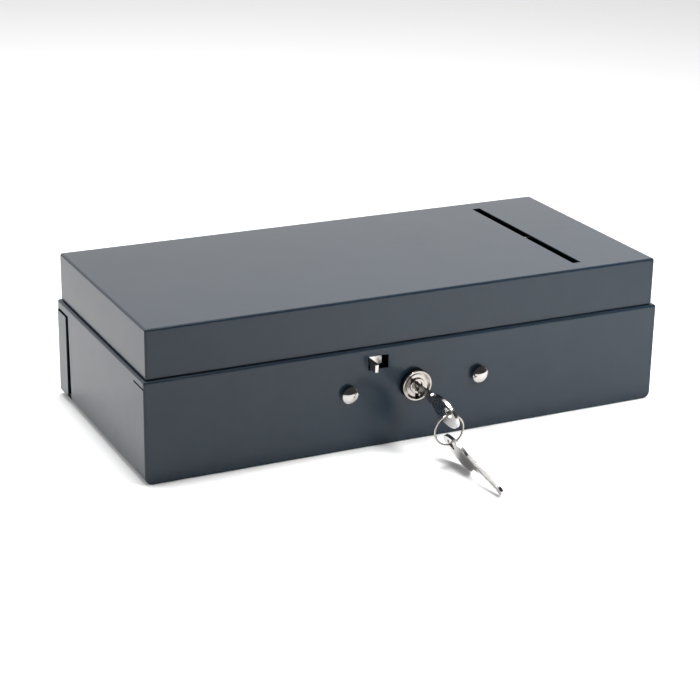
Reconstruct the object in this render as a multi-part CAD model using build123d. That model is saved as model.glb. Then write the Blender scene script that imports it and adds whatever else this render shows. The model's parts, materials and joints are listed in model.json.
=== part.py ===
from build123d import *
import os
from math import asin, cos, radians, sin, sqrt

# A steel cash box: folded base, hinged lid with a deposit slot, sliding latch, key lock,
# lift-out coin tray, and two keys on a ring.
# Millimetres. +X right, +Y back, +Z up. Origin: centre of the base's underside.

# ---- sheet metal of the box
SHEET = 0.8             # thickness of the steel sheet
WIDTH = 296.0           # base, left to right
DEPTH = 135.2           # base, front to back
PARTING = 54.7          # top of the base's ledge, where lid and base part
LEDGE = 1.9             # width of ledge that shows beside the lid
LEDGE_FRONT = 2.2       # and before it
UPSTAND = 5.0           # height of the inner rim above the ledge
BEND_BOTTOM = 4.0       # outer radius of the base's lower side bends
BEND_EDGE = 1.3         # outer radius of its other bends
LID_GAP = 0.5           # between the lid's lower edge and the ledge
LID_TOP = 80.8          # height of the closed box
LID_BEND = 1.3          # outer radius of the lid's top edges
LID_CORNER = 1.2        # outer radius of its upright corners
RIM_GAP = 0.4           # between the lid's walls and the inner rim

# ---- flanges of the front and back panels, folded round onto the sides
FRONT_FLANGE = 14.6     # length, measured from the front face
FRONT_FLANGE_TOP = 50.2
BACK_FLANGE = 14.5
BACK_FLANGE_TOP = 49.1
BACK_FLANGE_LOW = 3.2
BACK_FLANGE_PROUD = 0.6
NOTCH = 1.0             # height of the open slot over the front flange
NOTCH_DEPTH = 3.0       # its length beside the corner
BACK_FLANGE_CORNER = 3.0
GROOVE_TOP = 2.4        # width of the open groove before the back flange, at its top
GROOVE_LOW = 4.2        # and at its foot
DOUBLER = 0.8           # how far the strips behind seam and groove pass their edges

# ---- deposit slot in the lid
SLOT_X = 102.8
SLOT_WIDTH = 5.0
SLOT_LENGTH = 111.0

# ---- hinge
AXIS_Y = 70.0
AXIS_Z = 54.85
PIN_R = 1.0
KNUCKLE_R = 2.0
HINGE_LENGTH = 280.0
KNUCKLES = 13           # odd ones belong to the base
KNUCKLE_GAP = 0.3
PIN_CLEARANCE = 0.06

# ---- latch
LOCK_Z = 31.5           # height of lock, rivets and latch slide
RIVET_X = 37.8
RIVET_HEAD_R = 4.6
RIVET_SIDE = 2.6        # height of the head's upright side
RIVET_DOME = 1.9        # height of the dome on it
WINDOW = (-27.0, -15.4, 42.8, 50.0)     # x and z limits of the finger window
TRAVEL = 5.0            # of the latch slide
CATCH_X = (-50.0, 50.0)                 # the two catch legs
SLIDE_T = 1.0

# ---- lock
FLANGE_R = 8.3          # the lock's chromed rim
FLANGE_T = 3.6          # how far it stands out of the panel
GASKET_T = 2.4          # thickness of the rubber ring behind the rim
DISH_R = 7.3            # the hollow in its face
DISH_T = 0.7
NOTCH_FOOT = 3.0        # how deep its two notches go behind the panel's face
BARREL_R = 6.0
BARREL_BACK = -50.0
PLUG_R = 4.2
PLUG_CLEARANCE = 0.06
PLUG_HOLLOW_R = 2.8     # the hollow in the plug's face
PLUG_HOLLOW = 1.0
CAM_REACH = 14.2
CAM_T = 1.6

# ---- keys and ring
KEY_T = 1.8
KEY_ROLL = 20.0         # turn of the inserted key from upright
BLADE_LENGTH = 27.0
BLADE_WIDTH = 5.5
BLADE_OFFSET = 0.95     # keyway centre, below the lock's axis along the key's width
SHOULDER_Y = -85.1      # shoulder of the half-inserted key
BOW_LENGTH = 26.4
BOW_WIDTH = 17.2
BOW_OFFSET = 3.6        # bow centre from the blade's centre line
KEY_HOLE_R = 3.0
KEY_HOLE_AT = 19.2      # from the shoulder
KEY_HOLE_OFFSET = 1.7   # from the blade's centre line
RING_R = 8.1            # to the wire's centre
WIRE_R = 0.5
RING_CENTRE = (0.9, -104.3, 19.5)
SPARE_TIP = (6.4, -150.0, 3.0)
SPARE_HOLE = (2.6, -105.0, 11.9)
SPARE_WIDTH_DIRECTION = (0.43, 0.15, -0.89)

# ---- coin tray
TRAY_X = (-144.0, 74.0)
TRAY_Y = (-44.0, 64.5)
TRAY_RIM_Z = 49.0       # underside of its rim
TRAY_RIM_T = 1.6
TRAY_DEPTH = 29.0       # below the rim
TRAY_WALL = 2.0
TRAY_RIM = 4.0          # overhang of the rim
CUPS = 5
CUP_LENGTH = 34.0
SMALL_BILL_WIDTH = 40.0
DIVIDER_X = 75.0        # left face of the tray's steel divider

FRONT = -DEPTH / 2
BACK = DEPTH / 2
SIDE = WIDTH / 2
INNER_FRONT = FRONT + SHEET
LID_SIDE = SIDE - LEDGE
LID_FRONT = FRONT + LEDGE_FRONT
LID_BACK = BACK - 0.1
LID_LOW = PARTING + LID_GAP
RIM_SIDE = LID_SIDE - SHEET - RIM_GAP
RIM_FRONT = LID_FRONT + SHEET + RIM_GAP
RIM_TOP = PARTING + UPSTAND
SLIDE_FRONT = INNER_FRONT + 0.3
SLIDE_BACK = SLIDE_FRONT + SLIDE_T
COVER_FRONT = SLIDE_BACK + 0.3
COVER_BACK = COVER_FRONT + SHEET
FAR = 400.0


def slab(x0, x1, y0, y1, z0, z1):
    """A block between the given limits."""
    return Pos((x0 + x1) / 2, (y0 + y1) / 2, (z0 + z1) / 2) * Box(x1 - x0, y1 - y0, z1 - z0)


def rod_x(y, z, x0, x1, radius):
    """A round bar along X."""
    return Pos((x0 + x1) / 2, y, z) * Rot(0, 90, 0) * Cylinder(radius, x1 - x0)


def rod_y(x, z, y0, y1, radius):
    """A round bar along Y."""
    return Pos(x, (y0 + y1) / 2, z) * Rot(90, 0, 0) * Cylinder(radius, y1 - y0)


def slot_y(x0, x1, z, y0, y1, radius):
    """A long round-ended bar along Y, its ends' centres at x0 and x1."""
    ends = rod_y(x0, z, y0, y1, radius) + rod_y(x1, z, y0, y1, radius)
    return ends + slab(x0, x1, y0, y1, z - radius, z + radius)


def both_sides(x0, x1, y0, y1, z0, z1):
    """The same block on the right and on the left."""
    return slab(x0, x1, y0, y1, z0, z1) + slab(-x1, -x0, y0, y1, z0, z1)


def save(node, shape):
    export_step(shape, f"parts/{node}.step")


# ------------------------------------------------------------------ base

def base_hull(inset):
    """The base's outline as a solid block, moved in by inset on every face."""
    block = slab(-SIDE + inset, SIDE - inset, FRONT + inset, BACK - inset, inset, PARTING - inset)
    lower = block.edges().filter_by(Axis.Y).group_by(Axis.Z)[0]
    block = fillet(lower, BEND_BOTTOM - inset)
    front_edges = block.faces().sort_by(Axis.Y)[0].edges()
    top_sides = block.edges().filter_by(Axis.Y).group_by(Axis.Z)[-1]
    return fillet(list(front_edges) + list(top_sides), BEND_EDGE - inset)


def base_shell():
    """The whole skin of the base: floor, walls, ledge and inner rim."""
    skin = base_hull(0) - base_hull(SHEET)
    inner = RIM_SIDE - SHEET
    mouth_front = RIM_FRONT + SHEET
    skin -= slab(-inner, inner, mouth_front, BACK - SHEET, PARTING - 2, PARTING + 1)
    rim = slab(-RIM_SIDE, RIM_SIDE, RIM_FRONT, BACK - SHEET - 0.8, PARTING - SHEET, RIM_TOP)
    rim -= slab(-inner, inner, mouth_front, FAR, PARTING - 2, RIM_TOP + 1)
    return skin + rim


def front_zone():
    """The part of the base's skin that the front panel makes."""
    inner = SIDE - SHEET
    zone = slab(-FAR, FAR, -FAR, INNER_FRONT, -1, FAR)
    zone += slab(-FAR, FAR, INNER_FRONT - 0.1, RIM_FRONT + SHEET, PARTING - SHEET, FAR)
    notch_top = FRONT_FLANGE_TOP + NOTCH
    zone += both_sides(inner, SIDE + 1, INNER_FRONT - 0.1, FRONT + NOTCH_DEPTH, notch_top, PARTING)
    flange_back = FRONT + FRONT_FLANGE
    zone += both_sides(inner, SIDE + 1, INNER_FRONT - 0.1, flange_back, BEND_BOTTOM + 0.2, FRONT_FLANGE_TOP)
    return zone


def groove_cut():
    """The tapered opening of the groove before the back flange, through both side walls."""
    z0 = BACK_FLANGE_LOW - 0.2
    z1 = BACK_FLANGE_TOP + 1.1
    edge = BACK - BACK_FLANGE
    corners = [(BACK + 1, z0), (edge - GROOVE_LOW, z0), (edge - GROOVE_TOP, z1), (BACK + 1, z1)]
    cut = extrude(Plane.YZ * Polygon(*corners, align=None), FAR, both=True)
    return cut - slab(-SIDE + SHEET, SIDE - SHEET, -FAR, FAR, -FAR, FAR)


def make_base_pan(shell):
    inner = SIDE - SHEET
    seam = FRONT + FRONT_FLANGE
    notch_top = FRONT_FLANGE_TOP + NOTCH
    low = BEND_BOTTOM - 0.4
    pan = shell - slab(-FAR, FAR, -FAR, INNER_FRONT, -1, FAR)
    pan -= slab(-FAR, FAR, BACK - SHEET, FAR, -1, FAR)
    pan -= slab(-FAR, FAR, -FAR, RIM_FRONT + SHEET, PARTING - SHEET, FAR)
    pan -= both_sides(inner, SIDE + 1, -FAR, FRONT + NOTCH_DEPTH, notch_top, FAR)
    pan -= both_sides(inner, SIDE + 1, -FAR, seam, BEND_BOTTOM, notch_top)
    pan += both_sides(inner - SHEET, inner, INNER_FRONT, seam + DOUBLER, low, notch_top + 0.5)
    pan -= groove_cut()
    strip_front = BACK - BACK_FLANGE - GROOVE_LOW - DOUBLER
    strip_top = BACK_FLANGE_TOP + 1.6
    pan += both_sides(inner - SHEET, inner, strip_front, BACK - SHEET, low - 0.8, strip_top)
    return pan


def make_front_panel(shell):
    panel = shell & front_zone()
    x0, x1, z0, z1 = WINDOW
    panel -= slab(x0, x1, FRONT - 1, INNER_FRONT + 1, z0, z1)
    panel -= rod_y(0, LOCK_Z, FRONT - 1, INNER_FRONT + 1, BARREL_R)
    for x in (-RIVET_X, RIVET_X):
        panel -= rod_y(x, LOCK_Z, FRONT - 1, INNER_FRONT + 1, 2.5)
    return panel


def make_back_panel():
    outer = SIDE + BACK_FLANGE_PROUD
    inner = outer - SHEET
    wrap = slab(-outer, outer, BACK - BACK_FLANGE, BACK, BACK_FLANGE_LOW, BACK_FLANGE_TOP)
    corners = wrap.edges().filter_by(Axis.Z).group_by(Axis.Y)[-1]
    wrap = fillet(corners, 1.2)
    front_foot = wrap.edges().filter_by(Axis.X).group_by(Axis.Y)[0].sort_by(Axis.Z)[0]
    wrap = fillet(front_foot, BACK_FLANGE_CORNER)
    wrap -= slab(-inner, inner, -FAR, BACK - SHEET, -1, FAR)
    sheet = base_hull(0) & slab(-FAR, FAR, BACK - SHEET, FAR, -1, FAR)
    return sheet + wrap


# ------------------------------------------------------------------ hinge

def knuckle_spans(of_base):
    """The X limits of the knuckles that belong to the base, or to the lid."""
    pitch = HINGE_LENGTH / KNUCKLES
    spans = []
    for i in range(KNUCKLES):
        if (i % 2 == 0) == of_base:
            start = -HINGE_LENGTH / 2 + i * pitch
            spans.append((start + KNUCKLE_GAP / 2, start + pitch - KNUCKLE_GAP / 2))
    return spans


def hinge_leaf(plate, web_z, relief_z, of_base, bore):
    """A leaf: its plate, a knuckle at each of its own spans, and room for the other leaf's."""
    half = HINGE_LENGTH / 2
    leaf = slab(-half, half, *plate)
    for x0, x1 in knuckle_spans(not of_base):
        leaf -= slab(x0 - KNUCKLE_GAP, x1 + KNUCKLE_GAP, 60, 80, *relief_z)
    for x0, x1 in knuckle_spans(of_base):
        leaf += rod_x(AXIS_Y, AXIS_Z, x0, x1, KNUCKLE_R)
        leaf += slab(x0, x1, plate[0], AXIS_Y - 0.5, *web_z)
    return leaf - rod_x(AXIS_Y, AXIS_Z, -half - 1, half + 1, bore)


def make_hinge_base_leaf():
    plate = (BACK, BACK + SHEET, 43.0, AXIS_Z - 0.75)
    web = (AXIS_Z - 2.4, AXIS_Z - 0.75)
    relief = (AXIS_Z - 2.4, AXIS_Z + 5)
    return hinge_leaf(plate, web, relief, True, PIN_R)


def make_hinge_lid_leaf():
    plate = (LID_BACK, LID_BACK + SHEET, AXIS_Z + 0.75, 68.0)
    web = (AXIS_Z + 0.75, AXIS_Z + 2.4)
    relief = (AXIS_Z - 5, AXIS_Z + 2.4)
    return hinge_leaf(plate, web, relief, False, PIN_R + PIN_CLEARANCE)


def make_hinge_pin():
    half = HINGE_LENGTH / 2 + 0.6
    pin = rod_x(AXIS_Y, AXIS_Z, -half, half, PIN_R)
    return chamfer(pin.edges().filter_by(GeomType.CIRCLE), 0.25)


# ------------------------------------------------------------------ lid

def make_lid_shell():
    block = slab(-LID_SIDE, LID_SIDE, LID_FRONT, LID_BACK, LID_LOW, LID_TOP)
    block = fillet(block.edges().filter_by(Axis.Z), LID_CORNER)
    block = fillet(block.faces().sort_by(Axis.Z)[-1].edges(), LID_BEND)
    x = LID_SIDE - SHEET
    room = slab(-x, x, LID_FRONT + SHEET, LID_BACK - SHEET, LID_LOW - 1, LID_TOP - SHEET)
    room = fillet(room.edges().filter_by(Axis.Z), LID_CORNER - SHEET)
    room = fillet(room.faces().sort_by(Axis.Z)[-1].edges(), LID_BEND - SHEET)
    cut = slab(SLOT_X - SLOT_WIDTH / 2, SLOT_X + SLOT_WIDTH / 2, -SLOT_LENGTH / 2, SLOT_LENGTH / 2,
               LID_TOP - 3, LID_TOP + 1)
    cut = fillet(cut.edges().filter_by(Axis.Z), 0.6)
    return block - room - cut


def make_lid_catch():
    """Bracket on the lid's front wall; its two notched legs hang behind the latch."""
    wall = LID_FRONT + SHEET
    leg_front = -63.0
    leg_back = -62.0
    catch = slab(-56, 56, wall, wall + SHEET, 64.0, 77.0)
    for x in CATCH_X:
        catch += slab(x - 5, x + 3, wall, leg_back, 62.0, 64.4)
        leg = slab(x - 5, x + 3, leg_front, leg_back, 45.0, 63.0)
        leg = chamfer(leg.edges().filter_by(Axis.Y).group_by(Axis.Z)[0].sort_by(Axis.X)[-1], 3.2)
        leg -= slab(x - 1, x + 4, leg_front - 1, leg_back + 1, 50.1, 52.1)
        catch += leg
    return catch


# ------------------------------------------------------------------ latch

def make_latch_slide():
    """Sliding plate: finger tab in the window, lock lug, spring tab and two hooks."""
    x0, x1, z0, z1 = WINDOW
    top = 50.5
    plate = slab(-56, 59, SLIDE_FRONT, SLIDE_BACK, 16.0, top)
    plate -= slab(x0 - 0.3, x1 + 0.3, -FAR, 0, z0 - 0.4, 45.3)
    plate -= slab(-19.0, x1 + 0.3, -FAR, 0, z0, top + 1)
    plate -= slot_y(-TRAVEL, 0, LOCK_Z, SLIDE_FRONT - 1, SLIDE_BACK + 1, 9.8)
    for x in (-RIVET_X, RIVET_X):
        plate -= slot_y(x - TRAVEL, x, LOCK_Z, SLIDE_FRONT - 1, SLIDE_BACK + 1, 2.8)
    tab = slab(x0 + 0.4, x0 + 2.4, FRONT - 7.3, SLIDE_BACK, 43.8, 48.3)
    tab = fillet(tab.faces().sort_by(Axis.Y)[0].edges(), 0.5)
    plate += tab
    plate += slab(-15.9, -14.7, SLIDE_FRONT, BARREL_BACK + 3, LOCK_Z + 0.4, LOCK_Z + 4.4)
    plate += slab(-9.6, -8.4, SLIDE_FRONT, -59.4, 16.4, 21.4)
    for x in CATCH_X:
        plate += slab(x + 3.7, x + 8.5, SLIDE_FRONT, -60.8, top, top + SHEET)
        nose = slab(x - 0.6, x + 3.8, -64.2, -60.8, top, top + SHEET)
        plate += nose
    return plate


def make_latch_cover():
    """Guide plate behind the slide, with end flanges that meet the front panel."""
    x0, x1, z0, z1 = WINDOW
    plate = slab(-66, 66, COVER_FRONT, COVER_BACK, 13.0, 50.0)
    plate += slab(-66, -66 + SHEET, INNER_FRONT, COVER_BACK, 13.0, 50.0)
    plate += slab(66 - SHEET, 66, INNER_FRONT, COVER_BACK, 13.0, 50.0)
    plate -= slot_y(-8.0, 1.0, LOCK_Z, COVER_FRONT - 1, COVER_BACK + 1, 10.6)
    plate -= slab(x0 - 2.5, x1 + 2.0, COVER_FRONT - 1, COVER_BACK + 1, z0 - 0.8, 51)
    plate -= slab(-10.2, -2.0, COVER_FRONT - 1, COVER_BACK + 1, 15.8, 24.0)
    for x in (-RIVET_X, RIVET_X):
        plate -= rod_y(x, LOCK_Z, COVER_FRONT - 1, COVER_BACK + 1, 1.8)
    return plate + slab(14.4, 15.4, COVER_BACK - 0.2, -59.4, 16.4, 21.4)


def rivet_solid(x):
    """A domed rivet whose shoulder guides the slide, turned in one piece."""
    rim = FRONT - RIVET_SIDE
    dome_r = (RIVET_HEAD_R ** 2 + RIVET_DOME ** 2) / (2 * RIVET_DOME)
    half = asin(RIVET_HEAD_R / dome_r) / 2
    top = rim - RIVET_DOME
    middle = (dome_r * sin(half), top + dome_r * (1 - cos(half)))
    dome = ThreePointArc((0, top), middle, (RIVET_HEAD_R, rim))
    seat = COVER_BACK + SHEET
    steps = [(RIVET_HEAD_R, rim), (RIVET_HEAD_R, FRONT), (2.5, FRONT), (2.5, COVER_FRONT), (1.8, COVER_FRONT),
             (1.8, seat), (2.8, seat), (2.8, seat + 1.0), (0, seat + 1.0), (0, top)]
    rivet = revolve(make_face(dome + Polyline(*steps)), axis=Axis.Y)
    return Pos(x, 0, LOCK_Z) * rivet


def washer_solid(x):
    outer = rod_y(x, LOCK_Z, COVER_BACK, COVER_BACK + SHEET, 4.5)
    return outer - rod_y(x, LOCK_Z, COVER_BACK - 1, COVER_BACK + 2, 1.8)


def make_latch_spring():
    """Compression spring that holds the slide to the left."""
    start = -8.2
    length = 22.4
    coil = Helix(pitch=2.2, height=length - 0.7, radius=1.9)
    section = Plane(origin=coil @ 0, z_dir=coil % 0) * Circle(0.3)
    spring = sweep(section, path=coil)
    return Pos(start + 0.35, -61.9, 18.9) * Rot(0, 90, 0) * spring


# ------------------------------------------------------------------ lock

def radial_notch(angle, r0, r1, width):
    """A cut through the lock's rim, angle in degrees from straight down towards the right."""
    cut = slab(-width / 2, width / 2, FRONT - FLANGE_T - 1, FRONT + NOTCH_FOOT, -r1, -r0)
    return Pos(0, 0, LOCK_Z) * Rot(0, -angle, 0) * cut


def make_lock_body():
    """Barrel and chromed rim; the rim's face is a shallow dish with two notches."""
    front = FRONT - FLANGE_T
    rim = rod_y(0, LOCK_Z, front, FRONT - GASKET_T, FLANGE_R)
    rim = fillet(rim.faces().sort_by(Axis.Y)[0].edges(), 0.45)
    slope = Cone(DISH_R - 1.2, DISH_R, DISH_T)
    rim -= Pos(0, front + DISH_T / 2, LOCK_Z) * Rot(90, 0, 0) * slope
    body = rim + rod_y(0, LOCK_Z, FRONT - GASKET_T - 0.1, BARREL_BACK, BARREL_R)
    body -= radial_notch(0, PLUG_R, 7.4, 2.2)
    body -= radial_notch(33, PLUG_R, 6.8, 2.8)
    return body - rod_y(0, LOCK_Z, front - 1, BARREL_BACK + 1, PLUG_R + PLUG_CLEARANCE)


def make_lock_gasket():
    """Rubber ring between the panel and the lock's rim."""
    ring = rod_y(0, LOCK_Z, FRONT - GASKET_T, FRONT, FLANGE_R)
    return ring - rod_y(0, LOCK_Z, FRONT - GASKET_T - 1, FRONT + 1, BARREL_R)


def make_lock_washer():
    ring = rod_y(0, LOCK_Z, INNER_FRONT, INNER_FRONT + 0.8, 8.6)
    return ring - rod_y(0, LOCK_Z, INNER_FRONT - 1, INNER_FRONT + 2, BARREL_R)


def make_lock_nut():
    across_flats = 16.0
    y0 = INNER_FRONT + 0.8
    outline = RegularPolygon(across_flats / 2, 6, major_radius=False, rotation=0)
    nut = extrude(Plane(origin=(0, y0 + 3.0, LOCK_Z), x_dir=(0, 0, 1), z_dir=(0, -1, 0)) * outline, 3.0)
    return nut - rod_y(0, LOCK_Z, y0 - 1, y0 + 4, BARREL_R)


def key_frame(shoulder_y):
    """Key axes: X out of the lock, Y along the key's width, Z through its thickness."""
    a = radians(KEY_ROLL)
    down = (sin(a), 0, -cos(a))
    origin = (BLADE_OFFSET * down[0], shoulder_y, LOCK_Z + BLADE_OFFSET * down[2])
    return Plane(origin=origin, x_dir=(0, -1, 0), z_dir=(cos(a), 0, sin(a)))


def make_lock_plug():
    front = FRONT - FLANGE_T - 0.3
    plug = rod_y(0, LOCK_Z, front, BARREL_BACK, PLUG_R)
    plug = fillet(plug.faces().sort_by(Axis.Y)[0].edges(), 0.5)
    plug -= rod_y(0, LOCK_Z, front - 1, front + PLUG_HOLLOW, PLUG_HOLLOW_R)
    way = key_frame(front) * Pos(-9.0, 0, 0) * Box(22.2, BLADE_WIDTH + 0.6, KEY_T + 0.6)
    plug -= way
    tenon = Pos(0, BARREL_BACK + 0.9, LOCK_Z) * Rot(0, -KEY_ROLL, 0) * Box(5.0, 2.0, 5.0)
    return plug + tenon - rod_y(0, LOCK_Z, BARREL_BACK - 0.4, BARREL_BACK + 3, 1.3)


def make_lock_cam():
    """Bar on the back of the plug; it points left when locked, and is turned with the plug."""
    y0 = BARREL_BACK + 0.3
    hub = rod_y(0, 0, y0, y0 + CAM_T, 5.2)
    arm = slab(-CAM_REACH + 2.5, 0, y0, y0 + CAM_T, -2.5, 2.5)
    arm += rod_y(-CAM_REACH + 2.5, 0, y0, y0 + CAM_T, 2.5)
    cam = hub + arm - slab(-2.5, 2.5, y0 - 1, y0 + 3, -2.5, 2.5)
    return Pos(0, 0, LOCK_Z) * Rot(0, -KEY_ROLL, 0) * cam


def make_cam_screw():
    y0 = BARREL_BACK + 1.9
    head = rod_y(0, LOCK_Z, y0, y0 + 1.6, 3.6)
    head = fillet(head.faces().sort_by(Axis.Y)[-1].edges(), 0.5)
    screw = head + rod_y(0, LOCK_Z, BARREL_BACK - 0.3, y0 + 0.1, 1.3)
    return screw - slab(-4, 4, y0 + 0.8, y0 + 2, LOCK_Z - 0.4, LOCK_Z + 0.4)


# ------------------------------------------------------------------ keys and ring

def key_solid():
    """A flat key: oval bow with a ring hole, and a blade with cuts along one edge."""
    half = BLADE_WIDTH / 2
    bow = Pos(BOW_LENGTH / 2, BOW_OFFSET) * Ellipse(BOW_LENGTH / 2, BOW_WIDTH / 2)
    neck = Pos(-0.6, 0.8) * Rectangle(7.0, BLADE_WIDTH + 2.2)
    blade = Pos(-BLADE_LENGTH / 2, 0) * Rectangle(BLADE_LENGTH, BLADE_WIDTH)
    blade = chamfer(blade.vertices().group_by(Axis.X)[0], 1.9)
    outline = bow + neck + blade
    for i in range(5):
        side = 1.9 + 0.3 * (i % 3)
        outline -= Pos(-7.0 - 3.4 * i, half + 0.6) * Rot(0, 0, 45) * Rectangle(side, side)
    outline -= Pos(KEY_HOLE_AT, KEY_HOLE_OFFSET) * Circle(KEY_HOLE_R)
    key = extrude(outline, KEY_T / 2, both=True)
    return key - slab(-BLADE_LENGTH + 3, -1, -half + 1.2, -half + 2.2, KEY_T / 2 - 0.4, KEY_T)


def make_key_spare(key):
    """The second key: its tip stands on the floor and its ring hole is on the ring."""
    tip = Vector(*SPARE_TIP)
    hole = Vector(*SPARE_HOLE)
    wide = Vector(*SPARE_WIDTH_DIRECTION).normalized()
    reach = hole - tip
    wide = (wide - reach * (wide.dot(reach) / reach.dot(reach))).normalized()
    along = BLADE_LENGTH + KEY_HOLE_AT
    length = sqrt(along ** 2 + KEY_HOLE_OFFSET ** 2)
    axis = (reach.normalized() * along - wide * KEY_HOLE_OFFSET) / length
    across = (reach.normalized() * KEY_HOLE_OFFSET + wide * along) / length
    origin = hole - axis * KEY_HOLE_AT - across * KEY_HOLE_OFFSET
    return Plane(origin=origin, x_dir=axis, z_dir=axis.cross(across)) * key


def make_key_ring():
    """Closed wire ring, hanging upright across the box."""
    return Pos(*RING_CENTRE) * Rot(90, 0, 0) * Torus(RING_R, WIRE_R)


# ------------------------------------------------------------------ tray and its supports

def make_tray_ledge():
    """Angle strip on the left wall, under the tray's rim."""
    wall = -(SIDE - SHEET)
    top = TRAY_RIM_Z - 0.1
    return slab(wall, wall + SHEET, -46, 46, top - 9, top) + slab(wall, wall + 7, -46, 46, top - SHEET, top)


def make_tray_divider():
    """Upright plate beside the tray, with a top flange for the rim, a foot and a hand window."""
    x = DIVIDER_X
    top = TRAY_RIM_Z - 0.1
    y0 = INNER_FRONT + 3.0
    y1 = BACK - SHEET - 0.4
    plate = slab(x, x + SHEET, y0, y1, SHEET, top)
    plate += slab(x - 4.0, x + SHEET, y0, y1, top - SHEET, top)
    plate += slab(x, x + 8.0, y0, y1, SHEET, 2 * SHEET)
    window = slab(x - 1, x + 2, -36, 40, 7.0, 38.0)
    return plate - fillet(window.edges().filter_by(Axis.X), 6.0)


def cup_pockets(x0, x1, y0, y1, floor, top):
    """A row of coin cups with scooped floors."""
    pitch = (x1 - x0 + TRAY_WALL) / CUPS
    cuts = []
    for i in range(CUPS):
        left = x0 + i * pitch
        cup = slab(left, left + pitch - TRAY_WALL, y0, y1, floor, top)
        scoop = cup.edges().filter_by(Axis.X).group_by(Axis.Z)[0]
        cup = fillet(scoop, 11.0)
        cuts.append(cup)
    return cuts


def make_coin_tray():
    x0, x1 = TRAY_X
    y0, y1 = TRAY_Y
    top = TRAY_RIM_Z + TRAY_RIM_T
    low = TRAY_RIM_Z - TRAY_DEPTH
    rim = slab(x0, x1, y0, y1, TRAY_RIM_Z, top)
    rim = fillet(rim.edges().filter_by(Axis.Z), 3.0)
    tub = slab(x0 + TRAY_RIM, x1 - TRAY_RIM, y0 + 1.5, y1 - 1.5, low, top)
    tub = fillet(tub.edges().filter_by(Axis.Z), 2.5)
    tray = rim + tub
    inner_x0 = x0 + TRAY_RIM + TRAY_WALL
    inner_x1 = x1 - TRAY_RIM - TRAY_WALL
    inner_y0 = y0 + 1.5 + TRAY_WALL
    inner_y1 = y1 - 1.5 - TRAY_WALL
    floor = low + TRAY_WALL
    cup_back = inner_y0 + CUP_LENGTH
    for cup in cup_pockets(inner_x0, inner_x1, inner_y0, cup_back, floor, top + 1):
        tray -= cup
    bill_x1 = inner_x1 - SMALL_BILL_WIDTH - TRAY_WALL
    for left, right in ((inner_x0, bill_x1), (bill_x1 + TRAY_WALL, inner_x1)):
        pocket = slab(left, right, cup_back + TRAY_WALL, inner_y1, floor, top + 1)
        tray -= fillet(pocket.edges().group_by(Axis.Z)[0], 3.0)
    return tray


# ------------------------------------------------------------------ write every piece

def main():
    os.makedirs("parts", exist_ok=True)
    shell = base_shell()
    key = key_solid()
    save("base_pan", make_base_pan(shell))
    save("front_panel", make_front_panel(shell))
    save("back_panel", make_back_panel())
    save("hinge_base_leaf", make_hinge_base_leaf())
    save("hinge_lid_leaf", make_hinge_lid_leaf())
    save("hinge_pin", make_hinge_pin())
    save("lid_shell", make_lid_shell())
    save("lid_catch", make_lid_catch())
    save("latch_slide", make_latch_slide())
    save("latch_cover", make_latch_cover())
    save("latch_rivets", Compound(children=[rivet_solid(-RIVET_X), rivet_solid(RIVET_X)]))
    save("rivet_washers", Compound(children=[washer_solid(-RIVET_X), washer_solid(RIVET_X)]))
    save("latch_spring", make_latch_spring())
    save("lock_body", make_lock_body())
    save("lock_gasket", make_lock_gasket())
    save("lock_washer", make_lock_washer())
    save("lock_nut", make_lock_nut())
    save("lock_plug", make_lock_plug())
    save("lock_cam", make_lock_cam())
    save("cam_screw", make_cam_screw())
    save("key_inserted", key_frame(SHOULDER_Y) * key)
    save("key_spare", make_key_spare(key))
    save("key_ring", make_key_ring())
    save("tray_ledge", make_tray_ledge())
    save("tray_divider", make_tray_divider())
    save("coin_tray", make_coin_tray())


main()
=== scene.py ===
import json
import math

import bmesh
import bpy
from mathutils import Matrix, Vector


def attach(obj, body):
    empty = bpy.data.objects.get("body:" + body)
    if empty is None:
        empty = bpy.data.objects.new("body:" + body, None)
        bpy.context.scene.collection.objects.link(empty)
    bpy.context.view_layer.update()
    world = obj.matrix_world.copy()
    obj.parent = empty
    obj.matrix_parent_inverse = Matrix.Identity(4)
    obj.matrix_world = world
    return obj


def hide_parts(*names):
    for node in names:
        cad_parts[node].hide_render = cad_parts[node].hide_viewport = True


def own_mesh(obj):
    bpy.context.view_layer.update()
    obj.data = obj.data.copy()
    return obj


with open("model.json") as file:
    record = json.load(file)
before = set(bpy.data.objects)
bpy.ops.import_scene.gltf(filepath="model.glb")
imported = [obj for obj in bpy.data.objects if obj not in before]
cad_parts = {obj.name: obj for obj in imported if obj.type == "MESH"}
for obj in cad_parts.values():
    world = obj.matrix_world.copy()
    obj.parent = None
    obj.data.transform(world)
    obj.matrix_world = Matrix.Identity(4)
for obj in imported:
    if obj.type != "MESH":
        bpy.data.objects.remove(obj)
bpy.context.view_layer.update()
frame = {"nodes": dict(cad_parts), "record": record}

# Looks of the sheet-steel cash box. Metres, in the row's frame: +X right, +Y back, +Z up.

nodes = frame["nodes"]
node_body = {n: b for b, members in frame["record"]["behaviour"]["bodies"].items() for n in members}
node_slot = {s["node"]: s["material_slot"] for s in frame["record"]["subparts"]}


# ---------------------------------------------------------------- shader helpers

def new_material(name):
    """An empty node material: (material, its nodes, its links, its Principled shader)."""
    material = bpy.data.materials.new(name)
    material.use_nodes = True
    tree = material.node_tree
    shader = tree.nodes["Principled BSDF"]
    return material, tree.nodes, tree.links, shader


def object_coords(tree_nodes, links, scale=(1, 1, 1), turn=(0, 0, 0)):
    """Object coordinates in metres, scaled and turned."""
    coords = tree_nodes.new("ShaderNodeTexCoord")
    mapping = tree_nodes.new("ShaderNodeMapping")
    mapping.inputs["Scale"].default_value = scale
    mapping.inputs["Rotation"].default_value = turn
    links.new(coords.outputs["Object"], mapping.inputs["Vector"])
    return mapping.outputs["Vector"]


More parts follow.
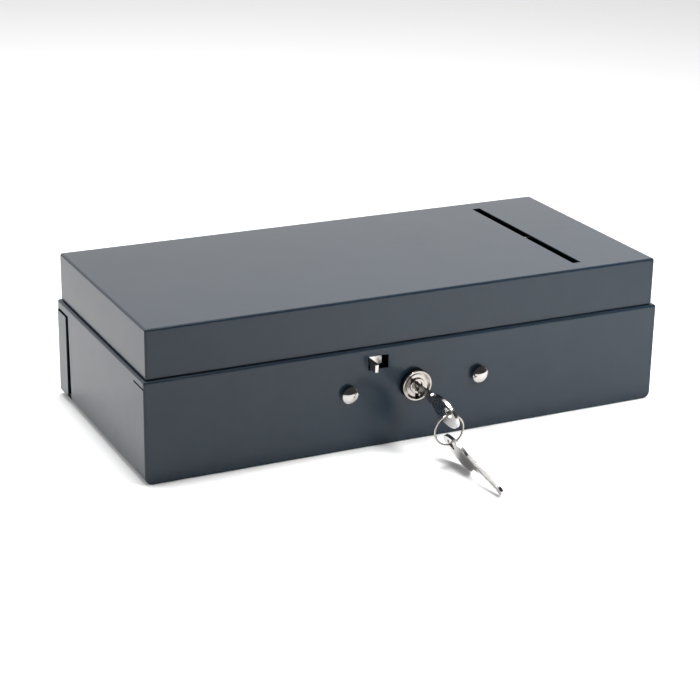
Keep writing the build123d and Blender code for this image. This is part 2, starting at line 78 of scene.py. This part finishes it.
def noise(tree_nodes, links, vector, scale, detail=2.0, rough=0.5, distortion=0.0):
    """A noise texture; scale is in features per metre."""
    tex = tree_nodes.new("ShaderNodeTexNoise")
    tex.inputs["Scale"].default_value = scale
    tex.inputs["Detail"].default_value = detail
    tex.inputs["Roughness"].default_value = rough
    tex.inputs["Distortion"].default_value = distortion
    links.new(vector, tex.inputs["Vector"])
    return tex.outputs["Fac"]


def ramp(tree_nodes, links, value, stops):
    """Value turned into a colour by stops of (position, (r, g, b))."""
    node = tree_nodes.new("ShaderNodeValToRGB")
    elements = node.color_ramp.elements
    while len(elements) < len(stops):
        elements.new(0.5)
    for element, (position, colour) in zip(elements, stops):
        element.position = position
        element.color = (*colour, 1)
    links.new(value, node.inputs["Fac"])
    return node.outputs["Color"]


def grey(level):
    """A neutral colour."""
    return (level, level, level)


def spread(tree_nodes, links, value, low, high, start=0.3, end=0.7):
    """Value from start..end mapped to low..high."""
    node = tree_nodes.new("ShaderNodeMapRange")
    node.inputs["From Min"].default_value = start
    node.inputs["From Max"].default_value = end
    node.inputs["To Min"].default_value = low
    node.inputs["To Max"].default_value = high
    links.new(value, node.inputs["Value"])
    return node.outputs["Result"]


def bump(tree_nodes, links, height, distance, strength=1.0, below=None):
    """A bump of that height in metres, on top of another bump."""
    node = tree_nodes.new("ShaderNodeBump")
    node.inputs["Distance"].default_value = distance
    node.inputs["Strength"].default_value = strength
    links.new(height, node.inputs["Height"])
    if below is not None:
        links.new(below, node.inputs["Normal"])
    return node.outputs["Normal"]


def multiply(tree_nodes, links, a, b):
    """Two colours multiplied."""
    node = tree_nodes.new("ShaderNodeMixRGB")
    node.blend_type = "MULTIPLY"
    node.inputs["Fac"].default_value = 1.0
    links.new(a, node.inputs["Color1"])
    links.new(b, node.inputs["Color2"])
    return node.outputs["Color"]


# ---------------------------------------------------------------- materials

def enamel(name, seed):
    """Charcoal baked enamel: glossy, with orange peel, pressed-sheet waviness and a slight drift of tone."""
    material, t, l, shader = new_material(name)
    place = object_coords(t, l, turn=(0.3 * seed, 0.2, 0.5 * seed))
    drift = noise(t, l, place, 9.0, detail=3.0)
    cloud = noise(t, l, place, 60.0, detail=4.0, rough=0.6)
    tone = ramp(t, l, drift, [(0.30, (0.0105, 0.0195, 0.0305)), (0.70, (0.0125, 0.0225, 0.0350))])
    mottle = ramp(t, l, cloud, [(0.35, grey(0.92)), (0.65, grey(1.0))])
    l.new(multiply(t, l, tone, mottle), shader.inputs["Base Color"])
    l.new(spread(t, l, cloud, 0.17, 0.23), shader.inputs["Roughness"])
    waves = noise(t, l, place, 22.0, detail=0.0)
    peel = noise(t, l, place, 420.0, detail=2.0)
    l.new(bump(t, l, peel, 0.000030, 0.30, bump(t, l, waves, 0.00040, 0.30)), shader.inputs["Normal"])
    shader.inputs["Specular IOR Level"].default_value = 0.28
    return material


GRAIN_HEIGHT = 0.00003   # bump of a full cast grain, in metres
LEAST_GRAIN = 0.15       # even polished plate keeps this share of it


def plated(name, light, dark, rough_low, rough_high, grain=0.0, grain_scale=3000.0, brushed=0.0):
    """Plated metal: smudged gloss, cloudy tone, and a cast grain or brushed lines if asked.

    grain is 0 to 1, grain_scale in features per metre, and brushed the lines' turn in radians.
    """
    material, t, l, shader = new_material(name)
    place = object_coords(t, l)
    smudge = noise(t, l, place, 260.0, detail=4.0, rough=0.65)
    l.new(ramp(t, l, smudge, [(0.30, dark), (0.72, light)]), shader.inputs["Base Color"])
    l.new(spread(t, l, smudge, rough_low, rough_high), shader.inputs["Roughness"])
    shader.inputs["Metallic"].default_value = 1.0
    height = noise(t, l, place, grain_scale, detail=3.0, rough=0.6)
    normal = bump(t, l, height, GRAIN_HEIGHT * max(grain, LEAST_GRAIN), 0.5)
    if brushed:
        streak_place = object_coords(t, l, scale=(400.0, 9000.0, 9000.0), turn=(0, 0, brushed))
        streak = noise(t, l, streak_place, 1.0, detail=2.0)
        normal = bump(t, l, streak, 0.000012, 0.35, normal)
    l.new(normal, shader.inputs["Normal"])
    return material


def zinc(name):
    """Zinc plate: soft satin with faint spangle and a cool tint."""
    material, t, l, shader = new_material(name)
    place = object_coords(t, l)
    cells = t.new("ShaderNodeTexVoronoi")
    cells.inputs["Scale"].default_value = 300.0
    l.new(place, cells.inputs["Vector"])
    spangle = ramp(t, l, cells.outputs["Distance"], [(0.1, (0.42, 0.43, 0.44)), (0.8, (0.55, 0.56, 0.56))])
    l.new(spangle, shader.inputs["Base Color"])
    l.new(spread(t, l, noise(t, l, place, 500.0, detail=4.0), 0.28, 0.46), shader.inputs["Roughness"])
    l.new(bump(t, l, noise(t, l, place, 2500.0, detail=2.0), 0.000008, 0.4), shader.inputs["Normal"])
    shader.inputs["Metallic"].default_value = 1.0
    return material


def moulded_plastic(name):
    """Grey moulded tray plastic with a fine leather grain."""
    material, t, l, shader = new_material(name)
    place = object_coords(t, l)
    cells = t.new("ShaderNodeTexVoronoi")
    cells.inputs["Scale"].default_value = 900.0
    cells.feature = "SMOOTH_F1"
    l.new(place, cells.inputs["Vector"])
    cloud = noise(t, l, place, 40.0, detail=3.0)
    l.new(ramp(t, l, cloud, [(0.3, (0.115, 0.120, 0.125)), (0.7, (0.135, 0.140, 0.145))]),
          shader.inputs["Base Color"])
    l.new(spread(t, l, cloud, 0.48, 0.58), shader.inputs["Roughness"])
    l.new(bump(t, l, cells.outputs["Distance"], 0.00012, 0.45), shader.inputs["Normal"])
    return material


def rubber(name):
    """Near-black moulded rubber with a dusty bloom, far darker than real rubber: a real gasket part whose
    colour paints the shade of the gap between the lock bezel and the panel.
    """
    material, t, l, shader = new_material(name)
    place = object_coords(t, l)
    bloom = noise(t, l, place, 700.0, detail=4.0)
    l.new(ramp(t, l, bloom, [(0.35, grey(0.0015)), (0.75, grey(0.0035))]),
          shader.inputs["Base Color"])
    l.new(spread(t, l, bloom, 0.62, 0.80), shader.inputs["Roughness"])
    l.new(bump(t, l, bloom, 0.00002, 0.4), shader.inputs["Normal"])
    shader.inputs["Specular IOR Level"].default_value = 0.06
    return material


def floor_material():
    """Matt pale paper sweep."""
    material, t, l, shader = new_material("paper_sweep")
    place = object_coords(t, l)
    fibre = noise(t, l, place, 900.0, detail=3.0)
    l.new(ramp(t, l, fibre, [(0.3, grey(0.925)), (0.7, grey(0.935))]),
          shader.inputs["Base Color"])
    shader.inputs["Roughness"].default_value = 0.9
    shader.inputs["Specular IOR Level"].default_value = 0.1
    return material


materials = {
    "enamel_box": enamel("charcoal_enamel_box", 1.0),
    "enamel_lid": enamel("charcoal_enamel_lid", 2.0),
    "chrome": plated("polished_chrome", light=(0.46, 0.44, 0.42), dark=(0.38, 0.365, 0.35),
                     rough_low=0.05, rough_high=0.11),
    "zinc": zinc("zinc_plate"),
    "spring_steel": plated("spring_wire", light=(0.52, 0.52, 0.53), dark=(0.38, 0.38, 0.40),
                           rough_low=0.2, rough_high=0.35),
    "die_cast": plated("plated_casting", light=(0.36, 0.335, 0.31), dark=(0.28, 0.26, 0.24),
                       rough_low=0.12, rough_high=0.20, grain=0.4, grain_scale=2600.0),
    "nickel_key": plated("nickel_key", light=(0.48, 0.465, 0.46), dark=(0.40, 0.39, 0.38),
                         rough_low=0.12, rough_high=0.24, grain=0.4, brushed=0.4),
    "ring_wire": plated("ring_wire", light=(0.44, 0.41, 0.38), dark=(0.34, 0.32, 0.30),
                        rough_low=0.08, rough_high=0.18),
    "tray_plastic": moulded_plastic("tray_plastic"),
    # near-black gasket colour: painted shade of the ring between the lock bezel and the panel
    "rubber": rubber("near_black_gasket_shade"),
}


# ---------------------------------------------------------------- CAD nodes finished for the camera

WELD = 2e-6              # vertices closer than this become one
FLAT_ANGLE = 0.4         # faces that meet at less than this are joined, in degrees
SMOOTH_ANGLE = 35.0      # edges sharper than this stay sharp, in degrees
BEVEL_ANGLE = 30.0       # edges sharper than this get a soft edge, in degrees
BEVEL_SEGMENTS = 2


def refine(node, bevel):
    """A finer copy of a CAD node: welded, flat areas joined, sharp edges softened, shaded smooth."""
    mesh = nodes[node].data.copy()
    piece = bpy.data.objects.new(node + "_fine", mesh)
    bpy.context.scene.collection.objects.link(piece)
    shape = bmesh.new()
    shape.from_mesh(mesh)
    bmesh.ops.remove_doubles(shape, verts=shape.verts, dist=WELD)
    bmesh.ops.dissolve_limit(shape, angle_limit=math.radians(FLAT_ANGLE),
                             verts=shape.verts, edges=shape.edges)
    shape.to_mesh(mesh)
    shape.free()
    mesh.materials.clear()
    mesh.materials.append(materials[node_slot[node]])
    for face in mesh.polygons:
        face.use_smooth = True
    mesh.set_sharp_from_angle(angle=math.radians(SMOOTH_ANGLE))
    if bevel:
        soft = piece.modifiers.new("soft_edges", "BEVEL")
        soft.width = bevel
        soft.segments = BEVEL_SEGMENTS
        soft.limit_method = "ANGLE"
        soft.angle_limit = math.radians(BEVEL_ANGLE)
        soft.use_clamp_overlap = True
    flat = piece.modifiers.new("flat_faces", "WEIGHTED_NORMAL")
    flat.mode = "FACE_AREA"
    flat.weight = 100
    flat.keep_sharp = True
    apply_modifiers(piece)
    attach(piece, node_body[node])
    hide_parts(node)
    return piece


def apply_modifiers(piece):
    """Replaces the piece's mesh by what its modifiers make of it."""
    graph = bpy.context.evaluated_depsgraph_get()
    done = bpy.data.meshes.new_from_object(piece.evaluated_get(graph))
    piece.modifiers.clear()
    piece.data = done


# Width of the soft edge on each node, in millimetres; 0 leaves the edges as they are.
EDGE_WIDTHS_MM = {
    "base_pan": 0.20,
    "front_panel": 0.22,
    "back_panel": 0.20,
    "lid_shell": 0.20,
    "lid_catch": 0.15,
    "hinge_base_leaf": 0.12,
    "hinge_lid_leaf": 0.12,
    "hinge_pin": 0,
    "latch_slide": 0.15,
    "latch_cover": 0.15,
    "latch_rivets": 0,
    "rivet_washers": 0.10,
    "latch_spring": 0,
    # the lock gasket's near-black colour is painted shade of the gap behind the lock bezel
    "lock_gasket": 0.15,
    "lock_body": 0.12,
    "lock_washer": 0.10,
    "lock_nut": 0.20,
    "lock_plug": 0.12,
    "lock_cam": 0.15,
    "cam_screw": 0.10,
    "key_inserted": 0.18,
    "key_spare": 0.18,
    "key_ring": 0,
    "tray_ledge": 0.15,
    "tray_divider": 0.15,
    "coin_tray": 0.60,
}


def compress_spring(spring):
    """Gives the return spring its own copy of its mesh; the spring is not shortened."""
    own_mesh(spring)


for node_name, width_mm in EDGE_WIDTHS_MM.items():
    refined = refine(node_name, width_mm / 1000)
    if node_name == "latch_spring":
        compress_spring(refined)


# ---------------------------------------------------------------- stage: floor, light, camera

FLOOR_HALF = 30.0        # half the side of the floor
FRONT_DARK = 0.08        # strength of the surround towards the viewer
BACK_BRIGHT = 1.20       # and behind the object
SURROUND_TURN = (-0.25, 0.45)      # share of +Y in the direction where it starts and ends brightening


def make_floor():
    """A plain sheet at z = 0, wide enough to pass out of every view."""
    mesh = bpy.data.meshes.new("sweep")
    half = FLOOR_HALF
    corners = [(-half, -half, 0), (half, -half, 0), (half, half, 0), (-half, half, 0)]
    mesh.from_pydata(corners, [], [(0, 1, 2, 3)])
    floor = bpy.data.objects.new("sweep", mesh)
    bpy.context.scene.collection.objects.link(floor)
    mesh.materials.append(floor_material())


def area_light(name, place, target, size, watts, spread_degrees=180.0):
    """A rectangular softbox at a place, facing a target; size is (width, height)."""
    data = bpy.data.lights.new(name, "AREA")
    data.shape = "RECTANGLE"
    data.size = size[0]
    data.size_y = size[1]
    data.energy = watts
    data.spread = math.radians(spread_degrees)
    lamp = bpy.data.objects.new(name, data)
    bpy.context.scene.collection.objects.link(lamp)
    lamp.location = place
    lamp.rotation_euler = (Vector(target) - Vector(place)).to_track_quat("-Z", "Y").to_euler()
    return lamp


def make_world():
    """Soft studio surround: bright behind the object and dark towards the viewer."""
    world = bpy.data.worlds.new("studio")
    bpy.context.scene.world = world
    world.use_nodes = True
    t = world.node_tree.nodes
    l = world.node_tree.links
    background = t["Background"]
    coords = t.new("ShaderNodeTexCoord")
    split = t.new("ShaderNodeSeparateXYZ")
    l.new(coords.outputs["Generated"], split.inputs["Vector"])
    strength = spread(t, l, split.outputs["Y"], FRONT_DARK, BACK_BRIGHT, *SURROUND_TURN)
    l.new(strength, background.inputs["Strength"])
    background.inputs["Color"].default_value = (1, 1, 1, 1)


def make_camera():
    """The viewer, above and to the left of the front; the axes are the camera's own, in the frame."""
    data = bpy.data.cameras.new("camera")
    camera = bpy.data.objects.new("camera", data)
    bpy.context.scene.collection.objects.link(camera)
    data.lens = 99.34
    data.sensor_width = 36.0
    data.clip_end = 100.0
    right = (0.90113, -0.43324, 0.01644)
    up = (0.13746, 0.32147, 0.93689)
    back = (-0.41118, -0.84200, 0.34923)
    turn = Matrix((right, up, back)).transposed().to_4x4()
    place = (-0.43903, -0.88974, 0.39651)
    camera.matrix_world = Matrix.Translation(place) @ turn
    bpy.context.scene.camera = camera


make_floor()
make_world()
area_light("overhead", place=(-0.06, 0.08, 1.15), target=(-0.02, 0.0, 0), size=(0.34, 0.28), watts=13.5)
area_light("edge_strip", place=(0.14, -0.42, 1.25), target=(0.02, -0.07, 0.05), size=(0.50, 0.10), watts=1.8)
pool = area_light("pool_right", place=(0.40, -0.44, 0.62), target=(0.17, -0.24, 0), size=(0.30, 0.30),
                  watts=1.15, spread_degrees=56.0)
pool.visible_glossy = False      # no hard dots on the rivets and keys
area_light("left_back", place=(-0.95, 0.55, 0.8), target=(-0.1, 0.1, 0), size=(0.7, 0.6), watts=3.5)
make_camera()
bpy.context.scene.view_settings.view_transform = "Standard"
